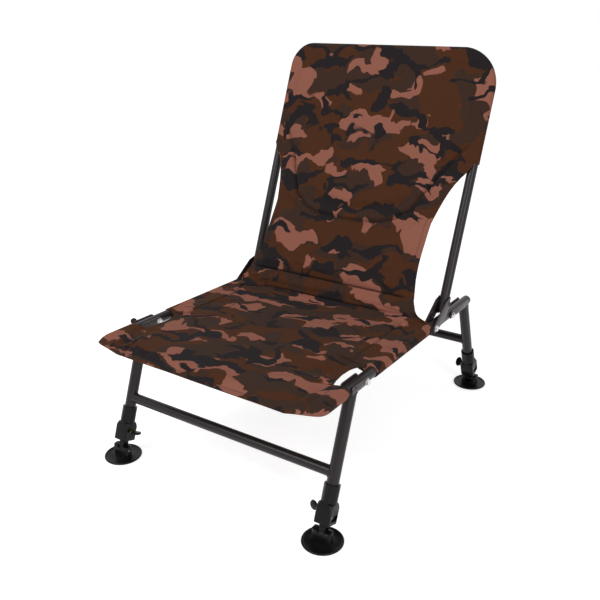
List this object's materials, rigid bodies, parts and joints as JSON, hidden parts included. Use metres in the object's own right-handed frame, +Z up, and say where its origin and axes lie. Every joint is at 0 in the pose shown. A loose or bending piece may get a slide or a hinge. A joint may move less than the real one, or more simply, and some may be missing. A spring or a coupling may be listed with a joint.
{
  "type": "carp fishing chair",
  "caption": "Low reclined folding chair: padded camouflage sling seat and back on a painted steel tube frame, with sliding legs and tilting disc feet.",
  "frame": {"origin": "on the ground, in the middle of the chair's box", "axes": "+Z up, the sitter faces -Y, +X is to the right for someone standing in front and facing the chair"},
  "size_m": [0.5544, 0.7704, 0.7726],
  "materials": {
    "frame_tube": "dark grey powder coat, satin",
    "bracket": "grey-brown powder coat, satin",
    "cover": "padded polyester, woodland camouflage print in tan, brown and black",
    "black_plastic": "moulded black nylon",
    "bolt": "bright zinc-plated steel",
    "brass": "bare turned brass"
  },
  "bodies": {
    "seat": {"backrest_pivot_bolt_left": "bolt", "backrest_pivot_bolt_right": "bolt", "front_pivot_bolt_left": "bolt", "front_pivot_bolt_right": "bolt", "lumbar_cover": "cover", "rail_front_cap_left": "black_plastic", "rail_front_cap_right": "black_plastic", "rail_rear_cap_left": "black_plastic", "rail_rear_cap_right": "black_plastic", "rear_pivot_bolt_left": "bolt", "rear_pivot_bolt_right": "bolt", "seat_cover": "cover", "seat_rail_left": "frame_tube", "seat_rail_right": "frame_tube"},
    "backrest": {"back_cover": "cover", "backrest_bracket_left": "bracket", "backrest_bracket_right": "bracket", "backrest_rivet_left": "bracket", "backrest_rivet_right": "bracket", "backrest_tube": "frame_tube"},
    "front_frame": {"front_brace": "frame_tube", "front_bracket_left": "bracket", "front_bracket_right": "bracket", "front_left_clamp_collar": "black_plastic", "front_left_clamp_insert": "brass", "front_leg_left": "frame_tube", "front_leg_right": "frame_tube", "front_right_clamp_collar": "black_plastic", "front_right_clamp_insert": "brass"},
    "rear_frame": {"rear_brace": "frame_tube", "rear_bracket_left": "bracket", "rear_bracket_right": "bracket", "rear_left_clamp_collar": "black_plastic", "rear_left_clamp_insert": "brass", "rear_leg_left": "frame_tube", "rear_leg_right": "frame_tube", "rear_right_clamp_collar": "black_plastic", "rear_right_clamp_insert": "brass"},
    "lock": {"lock_knob": "black_plastic"},
    "front_left_extension": {"front_left_extension": "frame_tube", "front_left_knuckle": "black_plastic"},
    "front_left_foot": {"front_left_foot": "black_plastic", "front_left_tilt_pin": "bolt"},
    "front_left_screw": {"front_left_clamp_screw": "black_plastic"},
    "front_right_extension": {"front_right_extension": "frame_tube", "front_right_knuckle": "black_plastic"},
    "front_right_foot": {"front_right_foot": "black_plastic", "front_right_tilt_pin": "bolt"},
    "front_right_screw": {"front_right_clamp_screw": "black_plastic"},
    "rear_left_extension": {"rear_left_extension": "frame_tube", "rear_left_knuckle": "black_plastic"},
    "rear_left_foot": {"rear_left_foot": "black_plastic", "rear_left_tilt_pin": "bolt"},
    "rear_left_screw": {"rear_left_clamp_screw": "black_plastic"},
    "rear_right_extension": {"rear_right_extension": "frame_tube", "rear_right_knuckle": "black_plastic"},
    "rear_right_foot": {"rear_right_foot": "black_plastic", "rear_right_tilt_pin": "bolt"},
    "rear_right_screw": {"rear_right_clamp_screw": "black_plastic"}
  },
  "joints": [
    {"name": "front_fold", "type": "hinge", "parent": "seat", "child": "front_frame", "pos_m": [0, -0.20994, 0.25831], "axis": [1, 0, 0], "range_deg": [0, 100]},
    {"name": "rear_fold", "type": "hinge", "parent": "seat", "child": "rear_frame", "pos_m": [0, 0.16835, 0.24576], "axis": [-1, 0, 0], "range_deg": [0, 90]},
    {"name": "backrest_fold", "type": "hinge", "parent": "seat", "child": "backrest", "pos_m": [0, 0.0814, 0.24864], "axis": [1, 0, 0], "range_deg": [0, 95], "deforming": ["lumbar_cover"]},
    {"name": "lock_pull", "type": "slide", "parent": "front_frame", "child": "lock", "axis": [-1, 0, 0], "range_m": [0, 0.006], "stiffness_N_per_m": 400},
    {"name": "front_left_height", "type": "slide", "parent": "front_frame", "child": "front_left_extension", "axis": [0, 0.3502, 0.9367], "range_m": [-0.1, 0]},
    {"name": "front_left_tilt", "type": "hinge", "parent": "front_left_extension", "child": "front_left_foot", "pos_m": [-0.24, -0.33085, 0.016], "axis": [1, 0, 0], "range_deg": [-30, 30]},
    {"name": "front_left_clamp", "type": "hinge", "parent": "front_frame", "child": "front_left_screw", "pos_m": [-0.22015, -0.31684, 0.05347], "axis": [1, 0, 0], "continuous": true},
    {"name": "front_right_height", "type": "slide", "parent": "front_frame", "child": "front_right_extension", "axis": [0, 0.3502, 0.9367], "range_m": [-0.1, 0]},
    {"name": "front_right_tilt", "type": "hinge", "parent": "front_right_extension", "child": "front_right_foot", "pos_m": [0.24, -0.33085, 0.016], "axis": [1, 0, 0], "range_deg": [-30, 30]},
    {"name": "front_right_clamp", "type": "hinge", "parent": "front_frame", "child": "front_right_screw", "pos_m": [0.22015, -0.31684, 0.05347], "axis": [-1, 0, 0], "continuous": true},
    {"name": "rear_left_height", "type": "slide", "parent": "rear_frame", "child": "rear_left_extension", "axis": [0, -0.3665, 0.9304], "range_m": [-0.1, 0]},
    {"name": "rear_left_tilt", "type": "hinge", "parent": "rear_left_extension", "child": "rear_left_foot", "pos_m": [-0.24, 0.34806, 0.016], "axis": [-1, 0, 0], "range_deg": [-30, 30]},
    {"name": "rear_left_clamp", "type": "hinge", "parent": "rear_frame", "child": "rear_left_screw", "pos_m": [-0.22015, 0.3334, 0.05322], "axis": [1, 0, 0], "continuous": true},
    {"name": "rear_right_height", "type": "slide", "parent": "rear_frame", "child": "rear_right_extension", "axis": [0, -0.3665, 0.9304], "range_m": [-0.1, 0]},
    {"name": "rear_right_tilt", "type": "hinge", "parent": "rear_right_extension", "child": "rear_right_foot", "pos_m": [0.24, 0.34806, 0.016], "axis": [-1, 0, 0], "range_deg": [-30, 30]},
    {"name": "rear_right_clamp", "type": "hinge", "parent": "rear_frame", "child": "rear_right_screw", "pos_m": [0.22015, 0.3334, 0.05322], "axis": [-1, 0, 0], "continuous": true}
  ]
}
